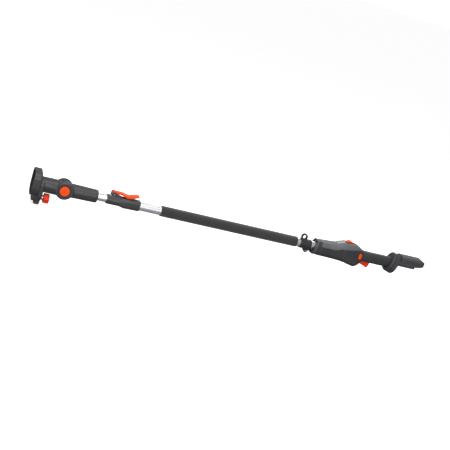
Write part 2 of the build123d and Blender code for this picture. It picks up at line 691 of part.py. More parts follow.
def lock_off_slot(radius_grow, y0, y1, mode):
    """Upright oval of the lock-off button."""
    with BuildSketch(side(y0)) as oval:
        with Locations((LOCK_OFF_X, LOCK_OFF_Z)):
            SlotOverall(22 + 2 * radius_grow, 12 + 2 * radius_grow, rotation=90)
    extrude(oval.sketch, amount=y0 - y1, mode=mode)


MOUTH = Plane(origin=(277, 0, AXIS_Z), x_dir=(0, 1, 0), z_dir=(cos(radians(14)), 0, sin(radians(-14))))

with BuildPart() as mouth_collar:
    housing_form(0)
    split(bisect_by=MOUTH, keep=Keep.TOP)
    split(bisect_by=Plane.YZ.offset(COLLAR_SPLIT - SEAM), keep=Keep.BOTTOM)
    housing_form(WALL, mode=Mode.SUBTRACT)
    # web that locates the tube, set back from the mouth
    rounded_bar(292, COLLAR_SPLIT - SEAM, 48, 49, 16, z=-1, mode=Mode.ADD)
    ring(250, 320, OUTER_TUBE_R, mode=Mode.SUBTRACT)
mouth_collar.part.label = "mouth_collar"
export_step(mouth_collar.part, "parts/mouth_collar.step")

with BuildPart() as upper_cover:
    housing_form(0)
    split(bisect_by=Plane.YZ.offset(COLLAR_SPLIT), keep=Keep.TOP)
    housing_form(WALL, mode=Mode.SUBTRACT)
    above_seam(SEAM / 2, Mode.INTERSECT)
    band(PANEL_FRONT, PANEL_REAR, PANEL_HALF, Mode.SUBTRACT)
    lock_off_slot(0.5, -50, 50, Mode.SUBTRACT)
    for (x, seat, foot), roof in zip(HOUSING_SCREWS, (24.0, 34.4)):
        for y in (-HOUSING_SCREW_Y, HOUSING_SCREW_Y):
            post(x, y, foot, roof, 3.2)
            post(x, y, foot, foot + 8, SCREW_R, Mode.SUBTRACT)
upper_cover.part.label = "upper_cover"
export_step(upper_cover.part, "parts/upper_cover.step")

with BuildPart() as lower_shell:
    housing_form(0)
    split(bisect_by=Plane.YZ.offset(COLLAR_SPLIT), keep=Keep.TOP)
    housing_form(WALL, mode=Mode.SUBTRACT)
    above_seam(-SEAM / 2, Mode.SUBTRACT)
    lock_off_slot(0.5, -50, 50, Mode.SUBTRACT)
    side_panel_prism(0.4, -50, 0, Mode.SUBTRACT)
    side_panel_prism(0.4, 0, 50, Mode.SUBTRACT)
    # slot for the front of the trigger
    with BuildSketch(level(-45)):
        with Locations((468, 0)):
            Rectangle(12, 2 * TRIGGER_HALF + 1.2)
    extrude(amount=45, mode=Mode.SUBTRACT)
    for x, seat, foot in HOUSING_SCREWS:
        for y in (-HOUSING_SCREW_Y, HOUSING_SCREW_Y):
            post(x, y, -50, foot, SCREW_R, Mode.SUBTRACT)
            post(x, y, -50, seat, SCREW_HEAD_R + 0.2, Mode.SUBTRACT)
    # posts under the circuit board
    for x, floor in ((356, -26.0), (428, -35.0)):
        for y in (-9, 9):
            post(x, y, floor, BOARD_Z, 2.5)
    # rib that guides the lock-off button
    with BuildSketch(side(-5)):
        with Locations((LOCK_OFF_X - 1, -12)):
            Rectangle(11, 46)
    extrude(amount=-10)
    cross_disc(LOCK_OFF_X, LOCK_OFF_Z, 4.0 + SLIDE_GAP, -10, 10, mode=Mode.SUBTRACT)
lower_shell.part.label = "lower_shell"
export_step(lower_shell.part, "parts/lower_shell.step")


def housing_skin(outer_inset, inner_inset):
    """Layer of the housing's wall between two depths."""
    housing_form(outer_inset)
    housing_form(inner_inset, mode=Mode.SUBTRACT)


with BuildPart() as side_panel_left:
    housing_skin(1.0, 2.6)
    side_panel_prism(0, -50, 0, Mode.INTERSECT)
side_panel_left.part.label = "side_panel_left"
export_step(side_panel_left.part, "parts/side_panel_left.step")

with BuildPart() as side_panel_right:
    housing_skin(1.0, 2.6)
    side_panel_prism(0, 0, 50, Mode.INTERSECT)
side_panel_right.part.label = "side_panel_right"
export_step(side_panel_right.part, "parts/side_panel_right.step")

with BuildPart() as control_panel:
    housing_skin(0.6, WALL)
    band(PANEL_FRONT + 0.3, PANEL_REAR - 0.3, PANEL_HALF - 0.3, Mode.INTERSECT)
    band(LENS_FRONT, LENS_REAR, LENS_HALF, Mode.SUBTRACT)
    # slot for the foot of the power slider
    with BuildSketch(level(30)):
        with Locations((SLIDER_X + SLIDER_TRAVEL / 2, 0)):
            Rectangle(20 + SLIDER_TRAVEL, 6.8)
    extrude(amount=30, mode=Mode.SUBTRACT)
control_panel.part.label = "control_panel"
export_step(control_panel.part, "parts/control_panel.step")

with BuildPart() as display_lens:
    housing_skin(0.3, 2.4)
    band(LENS_FRONT + 0.2, LENS_REAR - 0.2, LENS_HALF - 0.2, Mode.INTERSECT)
display_lens.part.label = "display_lens"
export_step(display_lens.part, "parts/display_lens.step")

with BuildPart() as power_slider:
    with BuildSketch(side()):
        Polygon(
            (SLIDER_X - 14, 42.0),
            (SLIDER_X - 5, 48.0),
            (SLIDER_X - 1, 48.0),
            (SLIDER_X + 13, 42.6),
            (SLIDER_X + 13, 41.6),
            (SLIDER_X - 14, 41.6),
            align=None,
        )
    extrude(amount=SLIDER_HALF, both=True)
    flanks = power_slider.edges().filter_by(lambda e: abs(abs(e.center().Y) - SLIDER_HALF) < 0.01)
    chamfer(flanks.group_by(Axis.Z)[-1], 1.2)
    with BuildSketch(level(34)):
        with Locations((SLIDER_X, 0)):
            Rectangle(19, 6.2)
    extrude(amount=8)
power_slider.part.label = "power_slider"
export_step(power_slider.part, "parts/power_slider.step")

with BuildPart() as circuit_board:
    with BuildSketch(level(BOARD_Z)):
        with Locations((392, 0)):
            Rectangle(82, 32)
    extrude(amount=1.6)
    with BuildSketch(level(BOARD_Z + 1.6)):
        with Locations((372, -6)):
            Rectangle(14, 12)
        with Locations((404, 5)):
            Rectangle(18, 14)
    extrude(amount=4)
    for y in (-10, 10):
        post(362, y, BOARD_Z + 1.6, BOARD_Z + 13, 4.0)
circuit_board.part.label = "circuit_board"
export_step(circuit_board.part, "parts/circuit_board.step")

with BuildPart() as tube_saddle:
    rounded_bar(306, 328, 40, 38, 10)
    ring(300, 335, OUTER_TUBE_R, mode=Mode.SUBTRACT)
tube_saddle.part.label = "tube_saddle"
export_step(tube_saddle.part, "parts/tube_saddle.step")

with BuildPart() as housing_screws:
    for x, seat, foot in HOUSING_SCREWS:
        for y in (-HOUSING_SCREW_Y, HOUSING_SCREW_Y):
            post(x, y, seat, foot + 8, SCREW_R)
            post(x, y, seat - SCREW_HEAD, seat, SCREW_HEAD_R)
housing_screws.part.label = "housing_screws"
export_step(housing_screws.part, "parts/housing_screws.step")

with BuildPart() as lock_off_button:
    with BuildSketch(side(-30.4)):
        with Locations((LOCK_OFF_X, LOCK_OFF_Z)):
            SlotOverall(22, 12, rotation=90)
    extrude(amount=-60.8)
    fillet(lock_off_button.faces().sort_by(Axis.Y)[0].edges(), 1.2)
    fillet(lock_off_button.faces().sort_by(Axis.Y)[-1].edges(), 1.2)
    # waist between the two ends
    with BuildSketch(side(-20)):
        with Locations((LOCK_OFF_X, LOCK_OFF_Z)):
            Rectangle(30, 40)
            Circle(4.0, mode=Mode.SUBTRACT)
    extrude(amount=-40, mode=Mode.SUBTRACT)
lock_off_button.part.label = "lock_off_button"
export_step(lock_off_button.part, "parts/lock_off_button.step")

with BuildPart() as lock_off_springs:
    coil_spring((LOCK_OFF_X, -19.4, AXIS_Z + LOCK_OFF_Z), (0, 1, 0), 13.8, 5.4, 0.5, 4)
    coil_spring((LOCK_OFF_X, 5.6, AXIS_Z + LOCK_OFF_Z), (0, 1, 0), 13.8, 5.4, 0.5, 4)
lock_off_springs.part.label = "lock_off_springs"
export_step(lock_off_springs.part, "parts/lock_off_springs.step")


# ============================ handle =============================================================
def handle_tube():
    """Rear handle as one hollow piece, before the split into halves."""
    width = 2 * HANDLE_HALF_WIDTH
    height = 2 * HANDLE_HALF_HEIGHT
    rounded_bar(HANDLE_FRONT, HANDLE_REAR, width, height, HANDLE_CORNER, z=HANDLE_MID_Z)
    rounded_bar(
        HANDLE_FRONT - 1,
        HANDLE_REAR + 1,
        width - 2 * HANDLE_WALL,
        height - 2 * HANDLE_WALL,
        HANDLE_CORNER - HANDLE_WALL,
        z=HANDLE_MID_Z,
        mode=Mode.SUBTRACT,
    )
    # slot in the underside for the trigger
    with BuildSketch(level(-30)) as slot:
        with Locations((488, 0)):
            Rectangle(44, 2 * TRIGGER_HALF + 1.2)
    extrude(slot.sketch, amount=26, mode=Mode.SUBTRACT)
    for x, z in HANDLE_SCREW_SPOTS:
        cross_disc(x, z, 4.0, -15, 15)
        cross_disc(x, z, SCREW_R, -9, 30, mode=Mode.SUBTRACT)
        cross_disc(x, z, SCREW_HEAD_R + 0.2, 9, 30, mode=Mode.SUBTRACT)
    # ears inside for the trigger pin
    cross_disc(TRIGGER_PIN_X, TRIGGER_PIN_Z, 4.4, -14.8, -TRIGGER_HALF - SLIDE_GAP)
    cross_disc(TRIGGER_PIN_X, TRIGGER_PIN_Z, 4.4, TRIGGER_HALF + SLIDE_GAP, 14.8)
    cross_disc(TRIGGER_PIN_X, TRIGGER_PIN_Z, 2.0, -14, 14, mode=Mode.SUBTRACT)


with BuildPart() as handle_left_shell:
    handle_tube()
    split(bisect_by=Plane.XZ, keep=Keep.TOP)
handle_left_shell.part.label = "handle_left_shell"
export_step(handle_left_shell.part, "parts/handle_left_shell.step")

with BuildPart() as handle_right_shell:
    handle_tube()
    split(bisect_by=Plane.XZ, keep=Keep.BOTTOM)
handle_right_shell.part.label = "handle_right_shell"
export_step(handle_right_shell.part, "parts/handle_right_shell.step")

with BuildPart() as handle_screws:
    for x, z in HANDLE_SCREW_SPOTS:
        cross_disc(x, z, SCREW_R, -9, 9)
        cross_disc(x, z, SCREW_HEAD_R, 9, 9 + SCREW_HEAD)
handle_screws.part.label = "handle_screws"
export_step(handle_screws.part, "parts/handle_screws.step")

with BuildPart() as trigger_pin:
    cross_disc(TRIGGER_PIN_X, TRIGGER_PIN_Z, 2.0, -14, 14)
trigger_pin.part.label = "trigger_pin"
export_step(trigger_pin.part, "parts/trigger_pin.step")

with BuildPart() as trigger:
    with BuildSketch(side()):
        with Locations((TRIGGER_PIN_X, TRIGGER_PIN_Z)):
            Circle(4.4)
        with BuildLine():
            Polyline(
                (TRIGGER_PIN_X - 4.4, TRIGGER_PIN_Z),
                (467.5, -25.0),
                (480, -28.5),
                (496, -34.6),
                (501, -34.2),
                (504, -27),
                (506, -12),
                (506, -6.5),
                (TRIGGER_PIN_X, -5.6),
                (TRIGGER_PIN_X - 4.4, TRIGGER_PIN_Z),
            )
        make_face()
        with Locations((TRIGGER_PIN_X, TRIGGER_PIN_Z)):
            Circle(2.0 + SLIDE_GAP, mode=Mode.SUBTRACT)
    extrude(amount=TRIGGER_HALF, both=True)
    flanks = trigger.edges().filter_by(lambda e: abs(abs(e.center().Y) - TRIGGER_HALF) < 0.01)
    fillet(flanks.filter_by(lambda e: e.center().Z < AXIS_Z - 26), 1.5)
    post(500, 0, -12, 0, 4.2, Mode.SUBTRACT)
trigger.part.label = "trigger"
export_step(trigger.part, "parts/trigger.step")

with BuildPart() as trigger_spring:
    coil_spring((500, 0, AXIS_Z - 11.2), (0, 0, 1), 30.0, 3.2, 0.5, 6)
trigger_spring.part.label = "trigger_spring"
export_step(trigger_spring.part, "parts/trigger_spring.step")

with BuildPart() as trigger_switch:
    with BuildSketch(side(5)):
        with Locations((486, 7.4)):
            Rectangle(20, 10)
    extrude(amount=10)
    with BuildSketch(side(13.4)):
        with Locations((486, 9)):
            Rectangle(12, 4)
    extrude(amount=8.4)
trigger_switch.part.label = "trigger_switch"
export_step(trigger_switch.part, "parts/trigger_switch.step")

with BuildPart() as power_leads:
    for y in (-6, 6):
        with BuildLine() as lead:
            FilletPolyline(
                (424, y, AXIS_Z + BOARD_Z + 1.6),
                (424, y, AXIS_Z + 14.2),
                (588, y, AXIS_Z + 14.2),
                (609.4, y, AXIS_Z + 16.5),
                radius=8,
            )
        with BuildSketch(Plane(origin=lead.line @ 0, z_dir=lead.line % 0)) as wire:
            Circle(1.3)
        sweep(wire.sketch, path=lead.line)
power_leads.part.label = "power_leads"
export_step(power_leads.part, "parts/power_leads.step")

# ============================ battery dock =======================================================
LEAN = radians(DOCK_LEAN)
COLLAR_PLANE = Plane(
    origin=(DOCK_X, 0, AXIS_Z + 3), x_dir=(0, 1, 0), z_dir=(cos(LEAN), 0, -sin(LEAN))
)
COLLAR_REAR = COLLAR_PLANE.offset(DOCK_THICKNESS / 2)

with BuildPart() as dock_collar:
    with BuildSketch(COLLAR_PLANE.offset(-DOCK_THICKNESS / 2)):
        RectangleRounded(DOCK_WIDTH, DOCK_HEIGHT, DOCK_CORNER)
    extrude(amount=DOCK_THICKNESS)
    fillet(dock_collar.faces().sort_by(Axis.X)[0].edges(), 7.0)
    fillet(dock_collar.faces().filter_by(GeomType.PLANE).sort_by(Axis.X)[-1].edges(), 3.0)
    # three grooves round the rim
    for station in (-3.0, 2.5, 8.0):
        with BuildSketch(COLLAR_PLANE.offset(station)):
            RectangleRounded(DOCK_WIDTH + 4, DOCK_HEIGHT + 4, DOCK_CORNER + 2)
            RectangleRounded(DOCK_WIDTH - 4, DOCK_HEIGHT - 4, DOCK_CORNER - 2, mode=Mode.SUBTRACT)
        extrude(amount=2.2, mode=Mode.SUBTRACT)
    rounded_bar(
        HANDLE_FRONT,
        HANDLE_REAR + 30,
        2 * HANDLE_HALF_WIDTH + SEAM,
        2 * HANDLE_HALF_HEIGHT + SEAM,
        HANDLE_CORNER,
        z=HANDLE_MID_Z,
        mode=Mode.SUBTRACT,
    )
dock_collar.part.label = "dock_collar"
export_step(dock_collar.part, "parts/dock_collar.step")

def hood_plan(half, rear, corner):
    """Plan of the hood, with its rounded nose."""
    with BuildSketch(level(-10)) as plan:
        with Locations(((580 + rear) / 2, 0)):
            Rectangle(rear - 580, 2 * half)
        fillet(plan.vertices().group_by(Axis.X)[-1], corner)
    return plan.sketch


with BuildPart() as dock_hood:
    with BuildSketch(across(580)):
        for sign in (-1, 1):
            Polygon(
                (0, HOOD_LIP),
                (sign * HOOD_HALF, HOOD_LIP),
                (sign * HOOD_HALF, HOOD_GROOVE_Z - 1),
                (sign * (HOOD_HALF - 1.6), HOOD_GROOVE_Z),
                (sign * (HOOD_HALF - 1.6), HOOD_GROOVE_Z + 1.6),
                (sign * (HOOD_HALF - 0.4), HOOD_GROOVE_Z + 2.6),
                (sign * (HOOD_HALF - 0.8), HOOD_TOP - 10),
                (sign * (HOOD_HALF - 3.4), HOOD_TOP - 4.4),
                (sign * (HOOD_HALF - 9), HOOD_TOP - 1.2),
                (sign * (HOOD_HALF - 16), HOOD_TOP),
                (0, HOOD_TOP),
                align=None,
            )
    extrude(amount=HOOD_REAR - 580)
    extrude(hood_plan(HOOD_HALF, HOOD_REAR, 22), amount=60, mode=Mode.INTERSECT)
    # side view: stepped lower lip and rounded nose
    with BuildSketch(side()):
        with BuildLine():
            Polyline(
                (690, 60),
                (570, 60),
                (570, 0),
                (671, 0),
                (673, 11),
                (690, 14),
                (HOOD_REAR - 7, 18),
                (HOOD_REAR, 23),
            )
            ThreePointArc((HOOD_REAR, 23), (HOOD_REAR - 6, 33), (HOOD_REAR - 20, HOOD_TOP))
            Polyline((HOOD_REAR - 20, HOOD_TOP), (690, 60))
        make_face()
    extrude(amount=50, both=True, mode=Mode.INTERSECT)
    split(bisect_by=COLLAR_REAR, keep=Keep.TOP)
    # inside, open below
    extrude(hood_plan(HOOD_HALF - HOOD_WALL, HOOD_REAR - 15, 16), amount=42, mode=Mode.SUBTRACT)
    # way in for the battery, under the nose
    with BuildSketch(level(-5)):
        with Locations((HOOD_REAR - 40, 0)):
            Rectangle(120, 2 * (HOOD_HALF - HOOD_WALL - 3))
    extrude(amount=DOCK_PLATE_Z + 5, mode=Mode.SUBTRACT)
    for x, y in DOCK_SCREW_SPOTS:
        post(x, y, 28, DOCK_SCREW_TOP, SCREW_R, Mode.SUBTRACT)
dock_hood.part.label = "dock_hood"
export_step(dock_hood.part, "parts/dock_hood.step")

with BuildPart() as dock_base:
    with BuildSketch(level(DOCK_PLATE_Z)):
        with Locations((639.5, 0)):
            Rectangle(99, 2 * (HOOD_HALF - HOOD_WALL - 1))
    extrude(amount=DOCK_PLATE)
    for sign in (-1, 1):
        with BuildSketch(across(590)):
            with Locations((sign * RAIL_WEB_Y, 16.6)):
                Rectangle(3.6, 17.2)
            with Locations((sign * RAIL_LEDGE_Y, 9.6)):
                Rectangle(5.6, 3.2)
        extrude(amount=86)
    split(bisect_by=COLLAR_REAR, keep=Keep.TOP)
    for x, y in DOCK_SCREW_SPOTS:
        post(x, y, 20, DOCK_SCREW_TOP, SCREW_R, Mode.SUBTRACT)
dock_base.part.label = "dock_base"
export_step(dock_base.part, "parts/dock_base.step")

with BuildPart() as dock_screws:
    for x, y in DOCK_SCREW_SPOTS:
        post(x, y, DOCK_PLATE_Z, DOCK_SCREW_TOP, SCREW_R)
        post(x, y, DOCK_PLATE_Z - SCREW_HEAD, DOCK_PLATE_Z, SCREW_HEAD_R)
dock_screws.part.label = "dock_screws"
export_step(dock_screws.part, "parts/dock_screws.step")

with BuildPart() as terminal_block:
    with BuildSketch(level(12)):
        with Locations((612, 0)):
            Rectangle(26, 30)
    extrude(amount=DOCK_PLATE_Z - 12)
    split(bisect_by=COLLAR_REAR, keep=Keep.TOP)
    with BuildSketch(across(BLADE_X, BLADE_Z)):
        for y in BLADE_SPOTS:
            with Locations((y, 0)):
                Rectangle(BLADE_THICKNESS, BLADE_HEIGHT)
    extrude(amount=20, mode=Mode.SUBTRACT)
terminal_block.part.label = "terminal_block"
export_step(terminal_block.part, "parts/terminal_block.step")

with BuildPart() as terminal_blades:
    with BuildSketch(across(BLADE_X, BLADE_Z)):
        for y in BLADE_SPOTS:
            with Locations((y, 0)):
                Rectangle(BLADE_THICKNESS, BLADE_HEIGHT)
    extrude(amount=24)
terminal_blades.part.label = "terminal_blades"
export_step(terminal_blades.part, "parts/terminal_blades.step")
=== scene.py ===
"""Looks of the telescopic tool pole: materials, light, camera and the fine trim."""

import json
from math import cos, pi, radians, sin

import bmesh
import bpy
from mathutils import Matrix, Vector
from mathutils.bvhtree import BVHTree

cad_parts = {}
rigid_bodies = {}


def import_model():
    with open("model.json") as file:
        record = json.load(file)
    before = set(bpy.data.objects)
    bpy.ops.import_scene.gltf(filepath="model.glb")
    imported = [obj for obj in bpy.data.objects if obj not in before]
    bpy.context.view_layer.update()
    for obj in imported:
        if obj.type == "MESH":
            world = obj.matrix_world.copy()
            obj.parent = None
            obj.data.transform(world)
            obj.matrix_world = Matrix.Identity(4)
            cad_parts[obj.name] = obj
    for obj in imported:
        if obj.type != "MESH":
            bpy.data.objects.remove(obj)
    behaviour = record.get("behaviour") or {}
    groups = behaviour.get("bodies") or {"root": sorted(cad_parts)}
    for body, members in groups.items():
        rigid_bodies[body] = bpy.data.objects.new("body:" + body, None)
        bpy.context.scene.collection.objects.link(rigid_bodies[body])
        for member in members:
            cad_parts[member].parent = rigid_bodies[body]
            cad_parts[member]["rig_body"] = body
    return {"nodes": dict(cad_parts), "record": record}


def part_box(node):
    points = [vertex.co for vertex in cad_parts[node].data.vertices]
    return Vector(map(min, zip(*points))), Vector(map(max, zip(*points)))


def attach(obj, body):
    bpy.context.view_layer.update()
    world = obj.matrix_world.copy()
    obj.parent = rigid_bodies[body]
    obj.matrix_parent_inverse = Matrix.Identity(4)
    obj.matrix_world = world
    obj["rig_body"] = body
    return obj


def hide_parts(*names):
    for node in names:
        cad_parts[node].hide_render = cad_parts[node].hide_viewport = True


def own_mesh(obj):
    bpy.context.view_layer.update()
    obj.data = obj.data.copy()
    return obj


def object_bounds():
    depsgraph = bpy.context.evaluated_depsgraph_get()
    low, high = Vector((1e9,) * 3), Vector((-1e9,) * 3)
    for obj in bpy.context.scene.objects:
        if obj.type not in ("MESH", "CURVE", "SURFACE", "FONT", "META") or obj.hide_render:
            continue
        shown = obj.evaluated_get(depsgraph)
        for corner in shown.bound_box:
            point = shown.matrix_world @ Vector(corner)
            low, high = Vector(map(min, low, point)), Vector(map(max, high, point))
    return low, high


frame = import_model()
NODES = frame["nodes"]
CAD_BOX = [list(corner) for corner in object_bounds()]
scene = bpy.context.scene
scene.view_settings.view_transform = "Standard"


# --- shader helpers -------------------------------------------------------------------------
def shade(color, factor):
    """A colour made lighter or darker."""
    return tuple(min(1.0, c * factor) for c in color[:3]) + (1.0,)


class Shader:
    """A Principled material and the nodes that feed it."""

    def __init__(self, name, roughness, metallic=0.0, specular=0.5, coat=0.0):
        self.material = bpy.data.materials.new(name)
        self.material.use_nodes = True
        self.nodes = self.material.node_tree.nodes
        self.links = self.material.node_tree.links
        self.bsdf = self.nodes["Principled BSDF"]
        self.bsdf.inputs["Roughness"].default_value = roughness
        self.bsdf.inputs["Metallic"].default_value = metallic
        self.bsdf.inputs["Specular IOR Level"].default_value = specular
        self.bsdf.inputs["Coat Weight"].default_value = coat
        self.place = self.nodes.new("ShaderNodeTexCoord").outputs["Object"]

    def link(self, source, node, name):
        """Feeds one socket from another."""
        self.links.new(source, node.inputs[name])

    def stretched(self, scale):
        """Object coordinates scaled by axis."""
        mapping = self.nodes.new("ShaderNodeMapping")
        mapping.inputs["Scale"].default_value = scale
        self.link(self.place, mapping, "Vector")
        return mapping.outputs["Vector"]

    def noise(self, scale, detail=3.0, vector=None):
        """Noise at so many cycles per metre."""
        node = self.nodes.new("ShaderNodeTexNoise")
        node.inputs["Scale"].default_value = scale
        node.inputs["Detail"].default_value = detail
        self.link(vector or self.place, node, "Vector")
        return node.outputs["Fac"]

    def cells(self, scale):
        """Distance to the nearest cell centre of a Voronoi pattern."""
        node = self.nodes.new("ShaderNodeTexVoronoi")
        node.inputs["Scale"].default_value = scale
        self.link(self.place, node, "Vector")
        return node.outputs["Distance"]

    def ramp(self, source, low, high, start=0.3, end=0.7):
        """Colour from low to high as the source goes from start to end."""
        node = self.nodes.new("ShaderNodeValToRGB")
        node.color_ramp.elements[0].position = start
        node.color_ramp.elements[0].color = low
        node.color_ramp.elements[1].position = end
        node.color_ramp.elements[1].color = high
        self.link(source, node, "Fac")
        return node.outputs["Color"]

    def spread(self, source, low, high):
        """Number from low to high as the source goes from 0.3 to 0.7."""
        node = self.nodes.new("ShaderNodeMapRange")
        node.inputs["From Min"].default_value = 0.3
        node.inputs["From Max"].default_value = 0.7
        node.inputs["To Min"].default_value = low
        node.inputs["To Max"].default_value = high
        self.link(source, node, "Value")
        return node.outputs["Result"]

    def soft_edges(self, radius):
        """Normal rounded over the edges."""
        node = self.nodes.new("ShaderNodeBevel")
        node.samples = 6
        node.inputs["Radius"].default_value = radius
        return node.outputs["Normal"]

    def bump(self, height, strength, distance, normal=None):
        """Normal with the height pattern pressed into it."""
        node = self.nodes.new("ShaderNodeBump")
        node.inputs["Strength"].default_value = strength
        node.inputs["Distance"].default_value = distance
        self.link(height, node, "Height")
        if normal:
            self.link(normal, node, "Normal")
        return node.outputs["Normal"]

    def edge_mask(self, normal):
        """1 where the rounded normal leaves the true one, which is along the edges; it marks where the
        painted edge highlight goes.
        """
        geometry = self.nodes.new("ShaderNodeNewGeometry")
        dot = self.nodes.new("ShaderNodeVectorMath")
        dot.operation = "DOT_PRODUCT"
        self.links.new(normal, dot.inputs[0])
        self.links.new(geometry.outputs["Normal"], dot.inputs[1])
        node = self.nodes.new("ShaderNodeMapRange")
        node.inputs["From Min"].default_value = 0.995
        node.inputs["From Max"].default_value = 0.88
        self.link(dot.outputs["Value"], node, "Value")
        return node.outputs["Result"]

    def blend(self, factor, first, second):
        """Mix of two colours."""
        node = self.nodes.new("ShaderNodeMix")
        node.data_type = "RGBA"
        self.links.new(factor, node.inputs[0])
        self.links.new(first, node.inputs[6])
        if isinstance(second, tuple):
            node.inputs[7].default_value = second
        else:
            self.links.new(second, node.inputs[7])
        return node.outputs[2]

    def painted_groove_shade(self, source, reach=0.004, darkest=0.35):
        """Colour made darker in grooves and gaps: painted shade, from ambient occlusion."""
        node = self.nodes.new("ShaderNodeAmbientOcclusion")
        node.samples = 8
        node.inputs["Distance"].default_value = reach
        low = (darkest, darkest, darkest, 1.0)
        shadow = self.ramp(node.outputs["AO"], low, (1, 1, 1, 1), 0.35, 0.85)
        mix = self.nodes.new("ShaderNodeMix")
        mix.data_type = "RGBA"
        mix.blend_type = "MULTIPLY"
        mix.inputs[0].default_value = 1.0
        self.links.new(source, mix.inputs[6])
        self.links.new(shadow, mix.inputs[7])
        return mix.outputs[2]

    def colour(self, source):
        """Feeds the shader's colour."""
        self.link(source, self.bsdf, "Base Color")

    def rough(self, source):
        """Feeds the shader's roughness."""
        self.link(source, self.bsdf, "Roughness")

    def normal(self, source):
        """Feeds the shader's normal."""
        self.link(source, self.bsdf, "Normal")


def moulded(
    name,
    color,
    rough_low,
    rough_high,
    grain=0.12,
    edge=1.5,
    coat=0.0,
    edge_radius=0.0008,
    specular=0.5,
):
    """Moulded plastic: spark-eroded grain, slow colour drift, a painted highlight along the edges and
    painted shade in the grooves.
    """
    s = Shader(name, rough_high, specular=specular, coat=coat)
    rounded = s.soft_edges(edge_radius)
    drift = s.ramp(s.noise(17.0), shade(color, 0.9), shade(color, 1.1))
    # painted highlight: colour lighter by the factor edge along the edges; painted shade: colour darker in
    # the grooves
    s.colour(s.painted_groove_shade(s.blend(s.edge_mask(rounded), drift, shade(color, edge))))
    s.rough(s.spread(s.noise(60.0), rough_low, rough_high))
    s.normal(s.bump(s.noise(1900.0, 2.0), grain, 0.0003, rounded))
    return s.material


def metal(name, color, rough_low, rough_high, lines, edge_radius=0.0003):
    """Drawn or turned metal with fine lines along the stretch."""
    s = Shader(name, rough_high, metallic=1.0)
    fine = s.noise(1.0, 4.0, s.stretched(lines))
    s.colour(s.ramp(s.noise(9.0), shade(color, 0.95), shade(color, 1.04)))
    s.rough(s.spread(fine, rough_low, rough_high))
    s.normal(s.bump(fine, 0.05, 0.0001, s.soft_edges(edge_radius)))
    return s.material


def foam(name, color):
    """Closed-cell foam sleeve: open pores with painted shade in them, and a soft, dry bloom."""
    s = Shader(name, 0.92, specular=0.25)
    s.bsdf.inputs["Sheen Weight"].default_value = 0.35
    s.bsdf.inputs["Sheen Roughness"].default_value = 0.6
    pores = s.cells(1400.0)
    patches = s.ramp(s.noise(26.0), shade(color, 0.86), shade(color, 1.16))
    # pore centres darker: painted shade in the pits that the bump presses in
    shaded_pits = s.ramp(pores, shade(color, 0.55), shade(color, 1.1), 0.12, 0.42)
    mix = s.blend(s.noise(400.0), patches, shaded_pits)
    s.colour(mix)
    s.normal(s.bump(pores, 0.5, 0.0004, s.soft_edges(0.0008)))
    return s.material


def rubber(name, color):
    """Dull rubber with a fine, dusty surface."""
    s = Shader(name, 0.8, specular=0.3)
    s.colour(s.ramp(s.noise(40.0), shade(color, 0.8), shade(color, 1.25)))
    s.rough(s.spread(s.noise(150.0), 0.68, 0.85))
    s.normal(s.bump(s.noise(900.0), 0.2, 0.0003, s.soft_edges(0.0004)))
    return s.material


def circuit(name, color):
    """Solder-masked board with faint copper tracks under the mask."""
    s = Shader(name, 0.35, specular=0.5, coat=0.3)
    tracks = s.nodes.new("ShaderNodeTexBrick")
    tracks.inputs["Scale"].default_value = 160.0
    tracks.inputs["Color1"].default_value = shade(color, 0.8)
    tracks.inputs["Color2"].default_value = shade(color, 1.0)
    tracks.inputs["Mortar"].default_value = shade(color, 1.9)
    tracks.inputs["Mortar Size"].default_value = 0.03
    s.link(s.place, tracks, "Vector")
    s.colour(s.blend(s.noise(220.0), tracks.outputs["Color"], shade(color, 1.1)))
    s.rough(s.spread(s.noise(90.0), 0.28, 0.42))
    s.normal(s.bump(tracks.outputs["Fac"], 0.1, 0.0001, s.soft_edges(0.0003)))
    return s.material


ALONG_POLE = (60.0, 5200.0, 5200.0)
DARK = (0.038, 0.0383, 0.0402)
# in each moulded material, edge is the factor of the painted highlight along its edges and edge_radius its
# width
MATERIALS = {
    "tube_aluminium": metal("anodised_tube", (0.78, 0.79, 0.8), 0.30, 0.42, ALONG_POLE),
    "foam": foam("grip_foam", (0.027, 0.0265, 0.0262)),
    "dark_plastic": moulded("dark_housing", DARK, 0.38, 0.5, edge=3.4, edge_radius=0.0026),
    "black_plastic": moulded("black_trim", (0.026, 0.026, 0.027), 0.36, 0.48, edge=2.4),
    "cover_plastic": moulded("grey_cover", (0.12, 0.127, 0.138), 0.42, 0.55, edge=1.7),
    "lens_plastic": moulded("display_window", (0.24, 0.245, 0.25), 0.3, 0.4, 0.0, 1.2, specular=0.35),
    "orange_plastic": moulded("orange_control", (1.0, 0.078, 0.0), 0.42, 0.52, 0.06, 1.15, 0.0, 0.0009, 0.3),
    "red_plastic": moulded("red_control", (0.86, 0.036, 0.0), 0.4, 0.5, 0.08, 1.2, 0.0, 0.0006, 0.3),
    "steel": metal("machined_steel", (0.56, 0.56, 0.57), 0.24, 0.36, (900.0, 900.0, 900.0)),
    "brass": metal("contact_brass", (0.76, 0.54, 0.22), 0.2, 0.32, (300.0, 2600.0, 2600.0)),
    "board": circuit("circuit_board", (0.02, 0.13, 0.055)),
    "seal_rubber": rubber("seal_rubber", (0.03, 0.03, 0.031)),
    "cable_jacket": rubber("cable_jacket", (0.022, 0.022, 0.023)),
    "nylon": moulded("natural_nylon", (0.56, 0.55, 0.5), 0.4, 0.55, 0.06, 1.1),
    "lead_jacket": rubber("lead_jacket", (0.42, 0.02, 0.012)),
}
SLOT_OF = {part["node"]: part["material_slot"] for part in frame["record"]["subparts"]}


def dress(obj, slot):
    """Gives a piece the material of a slot."""
    obj.data.materials.clear()
    obj.data.materials.append(MATERIALS[slot])
